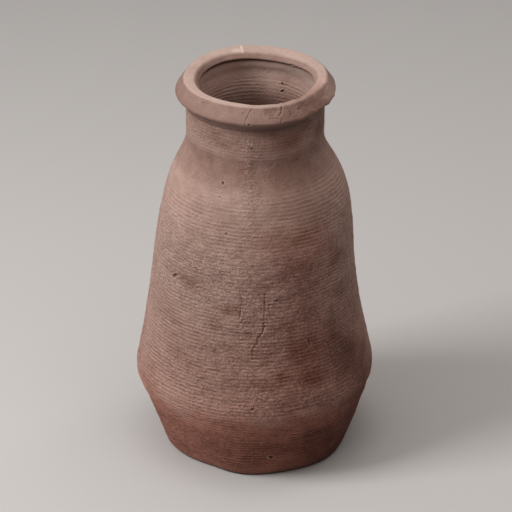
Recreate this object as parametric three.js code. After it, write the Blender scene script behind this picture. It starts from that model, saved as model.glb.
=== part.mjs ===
// Mud pot: a hand-built jar of coarse, low-fired clay, open at the top.
//
// The potter makes it in five sections and lutes them together with slip: a flat base
// slab, a flaring lower wall, the tall body wall, a neck collar and a rolled rim. Each
// joint is a ridge on the section below, which a groove in the section above sits over.
//
// Millimetres, +Z up. The origin is the centre of the underside, and -Y is the front.

import * as THREE from "three";

const { cos, sin, acos, exp, min, max, ceil, sign, atan2, hypot, PI } = Math;
const { lerp, clamp, smoothstep, degToRad, inverseLerp, euclideanModulo } = THREE.MathUtils;

// Heights of the sections, from the ground up.
const slabThickness = 13;
const lowerWallHeight = 70;
const bodyHeight = 243;
const neckHeight = 50;
const rimHeight = 25;

// Outside radii.
const footRadius = 97;
const bellyRadius = 120.6;
const waistRadius = 102.3;
const shoulderRadius = 91.7;
const neckRadius = 68.3;

// The heel is the round edge under the slab, inside which the pot stands flat.
const heelRoll = 7;

// Landmarks up the wall: the belly is rolled over, and the shoulder turns into the neck.
const bellyRoll = 8;
const waistRise = 117;
const shoulderDrop = 48;
const turnDrop = 12;
const turnShare = 0.57;
const neckFillet = 15;

// How steeply the wall leaves each landmark, against the straight line to the next one.
const bellySteepness = 1.42;
const waistSteepness = 0.63;
const shoulderSteepness = 0.67;
const turnSteepness = 1.5;

// Wall thicknesses, measured level.
const lowerWallThickness = 11;
const bodyWallThickness = 10;
const neckWallThickness = 9.3;

// The rim: a broad, softly rounded top, a face that slopes down to an edge overhanging the
// neck, and a lip inside the mouth that closes in over the bore. Each roll is a radius.
const rimOverhang = 9.8;
const edgeRise = 11;
const edgeRoll = 2.6;
const brinkInset = 6.6;
const brinkDrop = 0.8;
const brinkRoll = 4;
const mouthDrop = 0.6;
const mouthRoll = 5;
const lipInset = 3.8;
const lipDrop = 6.3;
const lipRoll = 1.6;
const undercutDrop = 13;

// The luted joints: the share of the wall that the ridge takes at its root and at its top,
// its height, and the film of slip between it and its groove.
const ridgeRootShare = 0.46;
const ridgeTopShare = 0.24;
const ridgeHeight = 3;
const slipGap = 0.3;

// How far the hands left it out of true, and towards which side in degrees.
const bodySway = 1.6;
const bodySwayTowards = 180;
const bodySwayBend = 1.35;
const footShift = 2.3;
const footShiftTowards = 337;
const heelFacets = 6;
const heelFacetDepth = 1.2;
const heelFacetTowards = 257;
const heelDent = 3.8;
const heelDentTowards = 240;
const heelDentSpread = 14;
const edgeOval = 1.4;
const edgeOvalTowards = 343;
const edgeShift = 2.3;
const edgeShiftTowards = 76;
const mouthOval = 1.9;
const mouthOvalTowards = 345;
const mouthShift = 1.6;
const mouthShiftTowards = 15;
const lipSag = 2.8;
const lipSagTowards = 68;
const rimTilt = 3.3;
const rimTiltTowards = 62;
const rimWave = 0.8;
const rimWaveCount = 3;
const rimWaveTowards = 117;

// How finely the curves are followed.
const segments = 48;
const outsideSpacing = 13;
const insideSpacing = 26;
const fewestSteps = 2;
const arcSteps = 3;

// Each section stands on the one below, with a film of slip in the joint.
const lowerWallFoot = slabThickness + slipGap;
const belly = lowerWallFoot + lowerWallHeight;
const bodyFoot = belly + slipGap;
const bodyTop = bodyFoot + bodyHeight;
const neckFoot = bodyTop + slipGap;
const neckTop = neckFoot + neckHeight;
const rimFoot = neckTop + slipGap;
const crest = rimFoot + rimHeight;
const boreRadius = neckRadius - neckWallThickness;

const point = (radius, height) => new THREE.Vector2(radius, height);

const clay = (colour, roughness) =>
  new THREE.MeshStandardMaterial({ color: colour, roughness, metalness: 0 });

// The outside of the wall from the foot to the neck: each landmark's height and radius, and
// how far the wall leans out there for each millimetre that it rises.
function wallLandmarks() {
  const footLean = (bellyRadius - footRadius) / (lowerWallHeight - bellyRoll / 2);
  const bellyLean = (bellySteepness * (waistRadius - bellyRadius)) / waistRise;
  const foot = { height: lowerWallFoot, radius: footRadius, lean: footLean };
  const underBelly = {
    height: belly - bellyRoll,
    radius: bellyRadius - (footLean * bellyRoll) / 2,
    lean: footLean,
  };
  const onBelly = { height: belly, radius: bellyRadius, lean: 0 };
  const overBelly = {
    height: bodyFoot + bellyRoll,
    radius: bellyRadius + (bellyLean * bellyRoll) / 2,
    lean: bellyLean,
  };
  const waist = { height: bodyFoot + waistRise, radius: waistRadius };
  const shoulder = { height: bodyTop - shoulderDrop, radius: shoulderRadius };
  const turnRadius = lerp(shoulderRadius, neckRadius, turnShare);
  const turn = { height: bodyTop - turnDrop, radius: turnRadius };
  const neckRoot = { height: neckFoot + neckFillet, radius: neckRadius, lean: 0 };
  setLean(waist, shoulder, waistSteepness);
  setLean(shoulder, turn, shoulderSteepness);
  setLean(turn, neckRoot, turnSteepness);
  return [foot, underBelly, onBelly, overBelly, waist, shoulder, turn, neckRoot];
}

function setLean(mark, next, steepness) {
  mark.lean = (steepness * (next.radius - mark.radius)) / (next.height - mark.height);
}

const landmarks = wallLandmarks();

// A smooth curve through the landmarks, which keeps the lean at each of them.
function outsideRadius(height) {
  const passed = landmarks.findLastIndex((mark) => mark.height <= height);
  const index = clamp(passed, 0, landmarks.length - 2);
  const [from, to] = landmarks.slice(index, index + 2);
  const span = to.height - from.height;
  const t = clamp((height - from.height) / span, 0, 1);
  const fromShare = 2 * t ** 3 - 3 * t ** 2 + 1;
  const fromLean = t ** 3 - 2 * t ** 2 + t;
  const toLean = t ** 3 - t ** 2;
  return (
    fromShare * from.radius +
    (1 - fromShare) * to.radius +
    span * (fromLean * from.lean + toLean * to.lean)
  );
}

// Heights from a section's foot to its top, with one at each landmark on the way.
function ringHeights(foot, top, spacing) {
  const within = landmarks.map((mark) => mark.height).filter((h) => h > foot && h < top);
  const stops = [foot, ...within, top];
  const heights = [foot];
  for (let i = 1; i < stops.length; i++) {
    const span = stops[i] - stops[i - 1];
    const steps = max(ceil(span / spacing), fewestSteps);
    for (let step = 1; step <= steps; step++) {
      heights.push(lerp(stops[i - 1], stops[i], step / steps));
    }
  }
  return heights;
}

// A luted joint on top of a section, sized by the thinner of the two walls that meet there.
function lute(height, ...walls) {
  const wall = min(...walls);
  return { height, wall, middle: outsideRadius(height) - wall / 2 };
}

// The ridge of a joint, from its outer side to its inner side.
function ridge({ height, wall, middle }) {
  const root = (ridgeRootShare * wall) / 2;
  const top = (ridgeTopShare * wall) / 2;
  return [
    point(middle + root, height),
    point(middle + top, height + ridgeHeight),
    point(middle - top, height + ridgeHeight),
    point(middle - root, height),
  ];
}

// The groove that sits over a ridge, from its inner side to its outer side. The film of
// slip lies all round it.
function groove(joint) {
  const roomFor = ({ x, y }) => point(x + slipGap * sign(x - joint.middle), y + slipGap);
  return ridge(joint).map(roomFor).reverse();
}

const footJoint = lute(slabThickness, lowerWallThickness);
const bellyJoint = lute(belly, lowerWallThickness, bodyWallThickness);
const neckJoint = lute(bodyTop, bodyWallThickness, neckWallThickness);
const rimJoint = lute(neckTop, neckWallThickness);

// How far round from a given direction a point lies, from minus half a turn to half a turn.
function turnFrom(around, towards) {
  return euclideanModulo(around - degToRad(towards) + PI, 2 * PI) - PI;
}

// The heel was beaten into rough facets and knocked in at one place. It evens out upwards.
function heelChange(around, height) {
  const facets = heelFacetDepth * cos(heelFacets * turnFrom(around, heelFacetTowards));
  const fromDent = turnFrom(around, heelDentTowards) / degToRad(heelDentSpread);
  const dent = heelDent * exp(-(fromDent ** 2)) * (1 - smoothstep(height, 0, 2 * slabThickness));
  return (facets - dent) * (1 - smoothstep(height, 0, belly));
}

// The rim and its mouth are each a little oval, the longer way in different directions.
function rimChange(around, pastBore) {
  const edge = edgeOval * cos(2 * turnFrom(around, edgeOvalTowards));
  const mouth = mouthOval * cos(2 * turnFrom(around, mouthOvalTowards));
  return lerp(mouth, edge, pastBore);
}

function rimLift(around) {
  const tilt = rimTilt * cos(turnFrom(around, rimTiltTowards));
  return tilt + rimWave * cos(rimWaveCount * turnFrom(around, rimWaveTowards));
}

// Hand forming: no section is quite round, level or upright. Each point moves with its
// neighbours, so the joints still fit.
function handForm(x, y, z) {
  const radius = hypot(x, y);
  const around = atan2(y, x);
  const pastBore = clamp(inverseLerp(boreRadius, neckRadius, radius), 0, 1);
  const onRim = smoothstep(z, neckTop, rimFoot + edgeRise);
  const onFoot = 1 - smoothstep(z, 0, belly);
  const fromAxis = min(radius / footRadius, 1);
  const heel = heelChange(around, z) * fromAxis ** 2;
  const reach = radius + heel + onRim * rimChange(around, pastBore);
  const upBody = clamp(inverseLerp(belly, neckFoot, z), 0, 1);
  const sway = bodySway * sin(2 * PI * upBody ** bodySwayBend);
  const sagging = max(cos(turnFrom(around, lipSagTowards)), 0) ** 2;
  const sag = lipSag * sagging * onRim * (1 - pastBore);
  const shifts = [
    [sway, bodySwayTowards],
    [footShift * onFoot, footShiftTowards],
    [edgeShift * onRim * pastBore, edgeShiftTowards],
    [mouthShift * onRim * (1 - pastBore), mouthShiftTowards],
  ];
  const place = point(reach * cos(around), reach * sin(around));
  for (const [shift, towards] of shifts) {
    place.x += shift * cos(degToRad(towards));
    place.y += shift * sin(degToRad(towards));
  }
  const lift = rimLift(around) * smoothstep(z, neckFoot, neckTop);
  return [place.x, place.y, z + lift - sag];
}

// Turns an outline round the axis, and then forms the result by hand.
function formed(outline) {
  const geometry = new THREE.LatheGeometry(outline, segments);
  geometry.rotateX(PI / 2);
  const place = geometry.attributes.position;
  for (let i = 0; i < place.count; i++) {
    place.setXYZ(i, ...handForm(place.getX(i), place.getY(i), place.getZ(i)));
  }
  geometry.computeVertexNormals();
  return geometry;
}

// A hollow section, whose outline runs back to its start.
const hollow = (outline) => formed([...outline, outline[0]]);

// A flat disc with the joint's ridge near its edge. Its side leans as the wall above it does,
// and the heel is rolled so that it touches the ground and that side.
function baseSlab() {
  const outward = point(1, -landmarks[0].lean).normalize();
  const edge = point(footRadius, slabThickness);
  const flat = (edge.dot(outward) - heelRoll - heelRoll * outward.y) / outward.x;
  const side = new THREE.Path();
  side.moveTo(0, 0);
  side.lineTo(flat, 0);
  side.absarc(flat, heelRoll, heelRoll, -PI / 2, outward.angle());
  side.lineTo(edge.x, edge.y);
  return formed([...side.getPoints(arcSteps), ...ridge(footJoint), point(0, slabThickness)]);
}

// A wall section, with a groove in its foot and a ridge on its top.
function wallSection(below, above, thickness) {
  const foot = below.height + slipGap;
  const outer = ringHeights(foot, above.height, outsideSpacing);
  const inner = ringHeights(foot, above.height, insideSpacing).reverse();
  return hollow([
    ...outer.map((height) => point(outsideRadius(height), height)),
    ...ridge(above),
    ...inner.map((height) => point(outsideRadius(height) - thickness, height)),
    ...groove(below),
  ]);
}

// A corner of the rim's outline, rounded to a roll.
const corner = (radius, height, roll) => ({ centre: point(radius, height), roll });

// The direction, seen from either centre, in which a straight side touches both rolls.
function sideTurn(from, to) {
  const across = to.centre.clone().sub(from.centre);
  return across.angle() - acos((from.roll - to.roll) / across.length());
}

// The rolled rim, from the neck out under the edge, up the sloping face, over the broad top
// and down inside the mouth to the lip, which is undercut. Straight sides join the rolls.
function rimRoll() {
  const edge = neckRadius + rimOverhang - edgeRoll;
  const lip = boreRadius - lipInset + lipRoll;
  const corners = [
    corner(neckRadius, rimFoot, 0),
    corner(edge, rimFoot + edgeRise, edgeRoll),
    corner(neckRadius + rimOverhang - brinkInset - brinkRoll, crest - brinkDrop - brinkRoll, brinkRoll),
    corner(lip + mouthRoll, crest - mouthDrop - mouthRoll, mouthRoll),
    corner(lip, crest - lipDrop, lipRoll),
    corner(boreRadius, crest - undercutDrop, 0),
  ];
  const sides = corners.slice(1).map((to, index) => sideTurn(corners[index], to));
  const rolls = new THREE.Path();
  for (let i = 1; i < sides.length; i++) {
    const { centre, roll } = corners[i];
    rolls.absarc(centre.x, centre.y, roll, sides[i - 1], sides[i]);
  }
  return hollow([
    point(neckRadius, rimFoot),
    ...rolls.getPoints(arcSteps),
    point(boreRadius, crest - undercutDrop),
    point(boreRadius, rimFoot),
    ...groove(rimJoint),
  ]);
}

const pot = new THREE.Group();

function add(name, geometry, material) {
  const mesh = new THREE.Mesh(geometry, material);
  mesh.name = name;
  pot.add(mesh);
}

const lowerSection = wallSection(footJoint, bellyJoint, lowerWallThickness);
const bodySection = wallSection(bellyJoint, neckJoint, bodyWallThickness);
const neckSection = wallSection(neckJoint, rimJoint, neckWallThickness);

add("base_slab", baseSlab(), clay("#6d4236", 0.95));
add("lower_wall", lowerSection, clay("#7d5144", 0.93));
add("body_wall", bodySection, clay("#8c6a5d", 0.92));
add("neck_collar", neckSection, clay("#86665a", 0.92));
add("rim_roll", rimRoll(), clay("#a78676", 0.88));

export default pot;
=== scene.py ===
import math

import bpy
import numpy as np
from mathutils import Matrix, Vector


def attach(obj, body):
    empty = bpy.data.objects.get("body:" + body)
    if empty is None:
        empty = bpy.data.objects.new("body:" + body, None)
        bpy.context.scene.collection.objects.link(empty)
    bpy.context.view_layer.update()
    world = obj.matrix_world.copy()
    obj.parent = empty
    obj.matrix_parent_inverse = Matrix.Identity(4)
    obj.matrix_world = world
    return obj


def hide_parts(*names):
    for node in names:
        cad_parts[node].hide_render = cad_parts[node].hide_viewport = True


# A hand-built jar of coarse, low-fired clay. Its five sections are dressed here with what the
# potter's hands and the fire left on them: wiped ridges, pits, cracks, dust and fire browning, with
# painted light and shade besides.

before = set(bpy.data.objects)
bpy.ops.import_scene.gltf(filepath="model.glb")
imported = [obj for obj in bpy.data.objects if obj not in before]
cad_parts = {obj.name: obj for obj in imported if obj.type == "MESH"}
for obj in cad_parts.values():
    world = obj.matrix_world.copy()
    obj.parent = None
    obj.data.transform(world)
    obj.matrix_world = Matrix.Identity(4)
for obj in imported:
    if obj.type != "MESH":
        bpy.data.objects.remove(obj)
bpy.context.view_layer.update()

# Heights of the sections and outside radii, in metres, as the solids have them.
slab_thickness = 0.013
lower_wall_height = 0.070
body_height = 0.243
neck_height = 0.050
rim_height = 0.025
slip_gap = 0.0003
foot_radius = 0.097
belly_radius = 0.1206
waist_radius = 0.1023
shoulder_radius = 0.0917
neck_radius = 0.0683
heel_roll = 0.007
belly_roll = 0.008
waist_rise = 0.117
shoulder_drop = 0.048
turn_drop = 0.012
turn_share = 0.57
neck_fillet = 0.015
belly_steepness = 1.42
waist_steepness = 0.63
shoulder_steepness = 0.67
turn_steepness = 1.5
lower_wall_thickness = 0.011
body_wall_thickness = 0.010
neck_wall_thickness = 0.0093
rim_overhang = 0.0098
edge_rise = 0.011
edge_roll = 0.0026
brink_inset = 0.0066
brink_drop = 0.0008
brink_roll = 0.004
mouth_drop = 0.0006
mouth_roll = 0.005
lip_inset = 0.0038
lip_drop = 0.0063
lip_roll = 0.0016
joint_root_share = 0.46
joint_top_share = 0.24
joint_height = 0.003

# How far the hands left it out of true, and towards which side in degrees.
body_sway = 0.0016
body_sway_towards = 180
body_sway_bend = 1.35
foot_shift = 0.0023
foot_shift_towards = 337
heel_facets = 6
heel_facet_depth = 0.0012
heel_facet_towards = 257
heel_dent = 0.0038
heel_dent_towards = 240
heel_dent_spread = 14
edge_oval = 0.0014
edge_oval_towards = 343
edge_shift = 0.0023
edge_shift_towards = 76
mouth_oval = 0.0019
mouth_oval_towards = 345
mouth_shift = 0.0016
mouth_shift_towards = 15
lip_sag = 0.0028
lip_sag_towards = 68
rim_tilt = 0.0033
rim_tilt_towards = 62
rim_wave = 0.0008
rim_wave_count = 3
rim_wave_towards = 117

lower_wall_foot = slab_thickness + slip_gap
belly = lower_wall_foot + lower_wall_height
body_foot = belly + slip_gap
body_top = body_foot + body_height
neck_foot = body_top + slip_gap
neck_top = neck_foot + neck_height
rim_foot = neck_top + slip_gap
crest = rim_foot + rim_height
edge_height = rim_foot + edge_rise
bore_radius = neck_radius - neck_wall_thickness

# The ridges that the wiping hand left, and how finely the clay is followed.
ridge_pitch = 0.00375
ridge_depth = 0.00024
rings_per_ridge = 4
neck_ridge_pitch = 0.0036
neck_ridge_depth = 0.00038
finger_ridge_pitch = 0.012
finger_ridge_depth = 0.0006
steps_round = 264
roll_steps = 9
heel_side_steps = 5
hollow_steps = 12
side_step = 0.0012

# What the fingers did to the rim: its underside is hollowed, its brink lies further in at the
# front, and the bore leans in towards the undercut below the lip.
hollow_depth = 0.0013
brink_shift = 0.0042
brink_shift_towards = 270
brink_shift_bend = 1.2
bore_lean_in = 0.0018
cove_drop = 0.0092

# How near two surfaces are when they touch, and two points when they are one.
touch = 0.0003
close_together = 1e-6


def smoothstep(values, low, high):
    """0 below low, 1 above high, and a soft rise between them."""
    share = np.clip((values - low) / (high - low), 0, 1)
    return share * share * (3 - 2 * share)


def band(values, low, high, soft):
    """1 from low to high, with a soft fall to 0 on both sides."""
    return smoothstep(values, low - soft, low) * (1 - smoothstep(values, high, high + soft))


def turn_from(around, towards):
    """How far round from a direction in degrees, from minus half a turn to half a turn."""
    return (around - math.radians(towards) + math.pi) % (2 * math.pi) - math.pi


def on_side(around, towards, spread):
    """1 in a direction, and less the further round from it, with a spread in degrees."""
    return np.exp(-((turn_from(around, towards) / math.radians(spread)) ** 2))


def in_zone(around, height, towards, spread, low, high, soft):
    """1 in the middle of a zone of the wall, which fades round the pot, up and down."""
    return on_side(around, towards, spread) * band(height, low, high, soft)


def polar(spots):
    """Radius, direction and height of each spot."""
    radius = np.hypot(spots[:, 0], spots[:, 1])
    around = np.arctan2(spots[:, 1], spots[:, 0])
    return radius, around, spots[:, 2].copy()


def spots_at(radius, around, height):
    """The places that have this radius, direction and height."""
    return np.stack([radius * np.cos(around), radius * np.sin(around), height], axis=1)


# The outline of the wall, as the solids have it.
def wall_landmarks():
    """Height, radius and lean of the wall at its foot, belly, waist, shoulder and neck."""
    foot_lean = (belly_radius - foot_radius) / (lower_wall_height - belly_roll / 2)
    belly_lean = belly_steepness * (waist_radius - belly_radius) / waist_rise
    turn_radius = shoulder_radius + (neck_radius - shoulder_radius) * turn_share
    marks = [
        [lower_wall_foot, foot_radius, foot_lean],
        [belly - belly_roll, belly_radius - foot_lean * belly_roll / 2, foot_lean],
        [belly, belly_radius, 0],
        [body_foot + belly_roll, belly_radius + belly_lean * belly_roll / 2, belly_lean],
        [body_foot + waist_rise, waist_radius, waist_steepness],
        [body_top - shoulder_drop, shoulder_radius, shoulder_steepness],
        [body_top - turn_drop, turn_radius, turn_steepness],
        [neck_foot + neck_fillet, neck_radius, 0],
    ]
    for mark, following in zip(marks[4:7], marks[5:8]):
        mark[2] *= (following[1] - mark[1]) / (following[0] - mark[0])
    return np.array(marks)


landmarks = wall_landmarks()


def outside_radius(height):
    """A smooth curve through the landmarks, which keeps the lean at each of them."""
    height = np.asarray(height, float)
    passed = np.searchsorted(landmarks[:, 0], height, side="right") - 1
    index = np.clip(passed, 0, len(landmarks) - 2)
    low, low_radius, low_lean = np.moveaxis(landmarks[index], -1, 0)
    high, high_radius, high_lean = np.moveaxis(landmarks[index + 1], -1, 0)
    span = high - low
    t = np.clip((height - low) / span, 0, 1)
    low_share = 2 * t**3 - 3 * t**2 + 1
    leaning = (t**3 - 2 * t**2 + t) * low_lean + (t**3 - t**2) * high_lean
    return low_share * low_radius + (1 - low_share) * high_radius + span * leaning


def hand_form(spots):
    """No section is quite round, level or upright, and all of them were formed together."""
    radius, around, height = polar(spots)
    past_bore = np.clip((radius - bore_radius) / (neck_radius - bore_radius), 0, 1)
    up_rim = smoothstep(height, neck_top, edge_height)
    on_foot = 1 - smoothstep(height, 0, belly)
    facets = heel_facet_depth * np.cos(heel_facets * turn_from(around, heel_facet_towards))
    dent = heel_dent * on_side(around, heel_dent_towards, heel_dent_spread)
    dent *= 1 - smoothstep(height, 0, 2 * slab_thickness)
    heel = (facets - dent) * on_foot * np.minimum(radius / foot_radius, 1) ** 2
    edge = edge_oval * np.cos(2 * turn_from(around, edge_oval_towards))
    mouth = mouth_oval * np.cos(2 * turn_from(around, mouth_oval_towards))
    reach = radius + heel + up_rim * (mouth + (edge - mouth) * past_bore)
    up_body = np.clip((height - belly) / (neck_foot - belly), 0, 1)
    shifts = [
        (body_sway * np.sin(2 * math.pi * up_body**body_sway_bend), body_sway_towards),
        (foot_shift * on_foot, foot_shift_towards),
        (edge_shift * up_rim * past_bore, edge_shift_towards),
        (mouth_shift * up_rim * (1 - past_bore), mouth_shift_towards),
    ]
    tilt = rim_tilt * np.cos(turn_from(around, rim_tilt_towards))
    wave = rim_wave * np.cos(rim_wave_count * turn_from(around, rim_wave_towards))
    lift = (tilt + wave) * smoothstep(height, neck_foot, neck_top)
    sagging = np.maximum(np.cos(turn_from(around, lip_sag_towards)), 0) ** 2
    sag = lip_sag * sagging * up_rim * (1 - past_bore)
    formed = spots_at(reach, around, height + lift - sag)
    for shift, towards in shifts:
        formed[:, 0] += shift * math.cos(math.radians(towards))
        formed[:, 1] += shift * math.sin(math.radians(towards))
    return formed


# Random swelling, the same on every run.
knots_a_side = 48
knots = np.random.default_rng(11).uniform(-1, 1, (knots_a_side,) * 3)
askew = np.array([[0.81, -0.56, 0.10], [0.58, 0.80, -0.07], [-0.04, 0.11, 0.99]])
uneven_shift = np.array([1.37, 1.61, 1.23])


def swelling(spots, across, up, shift):
    """Smooth lumps and hollows from -1 to 1, so many metres across and so many up."""
    places = spots @ askew / (across, across, up) + shift * uneven_shift
    cell = np.floor(places).astype(int)
    share = places - cell
    share = share * share * (3 - 2 * share)
    total = np.zeros(len(spots))
    for corner in np.ndindex(2, 2, 2):
        weight = np.where(corner, share, 1 - share).prod(axis=1)
        total += weight * knots[tuple(((cell + corner) % knots_a_side).T)]
    return total


# Marks of wear. Each has its width, its depth and the path on the unformed clay that it runs
# along. A path of one place is a pit. A place is a direction in degrees and a height, and on
# the rim it has a radius between them.
def on_rim(degrees, radius, height):
    """A place on the rim, whose outline has that radius at that height."""
    around = math.radians(degrees)
    return Vector((radius * math.cos(around), radius * math.sin(around), height))


def on_wall(degrees, height):
    """A place on the outside of the wall."""
    return on_rim(degrees, float(outside_radius(height)), height)


def in_neck(degrees, height):
    """A place on the bore of the neck."""
    return on_rim(degrees, bore_radius, height)


def placed(place, rows):
    """The marks of a table, with their paths laid on the pot."""
    return [([place(*spot) for spot in path], width, depth) for width, depth, *path in rows]


wall_marks = placed(on_wall, [
    (0.0011, 0.0013, (244, 0.3312), (244, 0.3292)),
    (0.0016, 0.0018, (245.5, 0.3192), (245.5, 0.3182)),
    (0.0009, 0.0007, (248, 0.3213)),
    (0.0011, 0.0011, (244.5, 0.3065)),
    (0.001, 0.001, (227.1, 0.2865), (227.6, 0.285)),
    (0.0014, 0.0016, (251.5, 0.273)),
    (0.0009, 0.0006, (257.3, 0.3317)),
    (0.001, 0.001, (235.3, 0.2298)),
    (0.0016, 0.0018, (216.8, 0.2125), (219.8, 0.215)),
    (0.0013, 0.0014, (278.7, 0.2005)),
    (0.0013, 0.0015, (282, 0.2046), (283, 0.2052)),
    (0.001, 0.001, (214.5, 0.0962), (214.9, 0.095)),
    (0.0014, 0.0012, (300.8, 0.1575), (300.8, 0.154)),
    (0.0018, 0.001, (335.8, 0.1163)),
    (0.0007, 0.0007, (288, 0.1545), (287.8, 0.1478)),
    (0.0008, 0.0009, (276, 0.2125), (276.1, 0.2), (275.8, 0.189)),
    (0.0008, 0.0006, (275.8, 0.189), (276.2, 0.179)),
    (0.0018, 0.001, (275.6, 0.182), (275.4, 0.176)),
    (0.001, 0.0012, (276.2, 0.179), (275, 0.1722), (272.4, 0.1655)),
    (0.0018, 0.0009, (272.6, 0.161), (271.8, 0.1585)),
    (0.0009, 0.001, (272.4, 0.1655), (271.6, 0.159), (269.8, 0.154)),
    (0.0009, 0.0008, (269.8, 0.154), (269.6, 0.148), (269.9, 0.1415)),
    (0.0008, 0.0007, (263, 0.2107), (263.2, 0.203), (262.6, 0.188)),
    (0.001, 0.0007, (264.6, 0.186), (261.8, 0.1765)),
    (0.0012, 0.0008, (261.0, 0.1705)),
    (0.0006, 0.0006, (306.2, 0.176), (305, 0.164), (303.8, 0.1517)),
    (0.0006, 0.0005, (281.8, 0.0979), (281.4, 0.085)),
    (0.0011, 0.0013, (268.5, 0.0922), (269.3, 0.0938)),
    (0.0006, 0.0005, (281.4, 0.085), (281.2, 0.079)),
    (0.002, 0.0028, (277.9, 0.0266), (278.5, 0.0258)),
    (0.0011, 0.0009, (290, 0.0507)),
    (0.0011, 0.0009, (215.5, 0.0382)),
    (0.0014, 0.0008, (297.5, 0.0364), (301, 0.0399)),
    (0.001, 0.0008, (264, 0.0215)),
    (0.0009, 0.0007, (252, 0.056)),
    (0.0009, 0.0008, (48, 0.132), (49, 0.1235), (47.6, 0.117)),
    (0.0008, 0.0008, (112, 0.224), (111.4, 0.213), (113, 0.205)),
    (0.0009, 0.0008, (158, 0.06), (158.8, 0.0515)),
])
# Small pits, scattered over the sides and the back.
pits = 18
pits_towards = (0, 190)
pits_height = (0.03, 0.31)
pit_width = (0.0009, 0.0014)
pit_depth = (0.0008, 0.0014)
scattered = np.random.default_rng(23)
for pit in range(pits):
    place = on_wall(scattered.uniform(*pits_towards), scattered.uniform(*pits_height))
    wall_marks.append(([place], scattered.uniform(*pit_width), scattered.uniform(*pit_depth)))
neck_marks = placed(on_wall, [
    (0.0009, 0.0008, (265.8, 0.3739)),
    (0.0009, 0.0009, (267.8, 0.3592), (267.6, 0.357)),
    (0.0009, 0.0009, (267.2, 0.347)),
    (0.001, 0.001, (266.5, 0.3392)),
    (0.0009, 0.0009, (266.8, 0.3342)),
    (0.0012, 0.0008, (279.5, 0.3312)),
    (0.001, 0.001, (288.2, 0.338)),
    (0.0006, 0.0005, (288.2, 0.338), (304.8, 0.3372), (309.2, 0.3382)),
    (0.001, 0.0009, (300.2, 0.35)),
    (0.001, 0.0009, (334, 0.3372)),
    (0.0009, 0.0008, (229.5, 0.339), (231, 0.339)),
]) + placed(in_neck, [
    (0.0013, 0.0016, (62.2, 0.3683), (61.6, 0.3671)),
    (0.0013, 0.0016, (63, 0.3592), (61, 0.3606)),
])
rim_marks = placed(on_rim, [
    (0.0008, 0.0007, (269.6, 0.0662, 0.4015), (268, 0.0689, 0.4012), (265.1, 0.0725, 0.3972)),
    (0.0008, 0.0009, (265.1, 0.0725, 0.3972), (263, 0.0759, 0.3922)),
    (0.0007, 0.0007, (263, 0.0759, 0.3922), (262.2, 0.0781, 0.3886)),
    (0.0012, 0.0015, (262.4, 0.078, 0.3874)),
    (0.0012, 0.0015, (265.4, 0.078, 0.3877)),
    (0.001, 0.0008, (259.8, 0.0731, 0.3963)),
    (0.0009, 0.0008, (269.6, 0.0731, 0.3963)),
    (0.0009, 0.0007, (222.2, 0.0725, 0.3972), (223.9, 0.0722, 0.3976)),
    (0.001, 0.0009, (295.6, 0.0646, 0.4015), (292.8, 0.0704, 0.4001)),
    (0.0012, 0.0009, (292.8, 0.0704, 0.4001), (290.5, 0.0737, 0.3955)),
    (0.0011, 0.0007, (290.5, 0.0737, 0.3955), (288.6, 0.0745, 0.3942)),
    (0.0009, 0.0006, (289.9, 0.0768, 0.3909), (288.8, 0.0781, 0.3886)),
    (0.0044, 0.0007, (280, 0.072, 0.398), (287, 0.0716, 0.3984)),
    (0.001, 0.0006, (279, 0.071, 0.3992), (278.2, 0.0738, 0.3953)),
    (0.0012, 0.0006, (281.5, 0.0756, 0.3927), (287, 0.0763, 0.3917)),
    (0.0016, 0.0006, (281.5, 0.0744, 0.3944), (284.5, 0.0742, 0.3947)),
    (0.001, 0.0007, (298.5, 0.0734, 0.3959)),
    (0.0011, 0.0007, (305.8, 0.0737, 0.3955)),
    (0.0009, 0.0006, (298.4, 0.0751, 0.3934)),
    (0.0011, 0.0009, (336, 0.0722, 0.3976)),
    (0.0013, 0.001, (343, 0.0722, 0.3976)),
    (0.0012, 0.001, (52.3, 0.0554, 0.3952), (47.3, 0.0552, 0.3955)),
    (0.0012, 0.001, (41.9, 0.0554, 0.3951)),
    (0.0011, 0.0009, (54.9, 0.059, 0.3867)),
    (0.0008, 0.0006, (56.4, 0.059, 0.383), (57.6, 0.059, 0.3775)),
])
# Pale marks. Their second value is a strength and not a depth.
pale_marks = placed(on_rim, [
    (0.0015, 1.0, (103.9, 0.0594, 0.401), (103, 0.0646, 0.4015)),
    (0.0016, 1.0, (103, 0.0646, 0.4015), (102.3, 0.0695, 0.4008), (102, 0.073, 0.3966)),
    (0.005, 0.45, (106, 0.0618, 0.4016), (111, 0.0616, 0.4016)),
]) + placed(on_wall, [
    (0.0012, 0.45, (276.6, 0.0266)),
    (0.0012, 0.6, (301.5, 0.149), (302.5, 0.1525)),
    (0.0012, 0.5, (283.4, 0.199), (284, 0.201)),
])

# A mark is deepest over its middle share, with a low lip of clay beside it, and has a ragged
# edge. The faces near it are cut more finely.
mark_fading_share = 0.25
mark_lip_share = 0.22
mark_lip_place = 1.3
mark_lip_spread = 0.35
ragged_share = 0.45
ragged_size = 0.0017
uneven_size = 0.0032
one_sided_size = 0.006
mark_surround = 0.0016
mark_cuts = 3


def distance_to(path, spots):
    """How far each spot is from a path."""
    nearest = np.full(len(spots), np.inf)
    for start, end in zip(path, path[1:] or path):
        start, along = np.array(start), np.array(end - start)
        length = max(along @ along, close_together**2)
        share = np.clip((spots - start) @ along / length, 0, 1)
        nearest = np.minimum(nearest, np.linalg.norm(spots - start - share[:, None] * along, axis=1))
    return nearest


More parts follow.
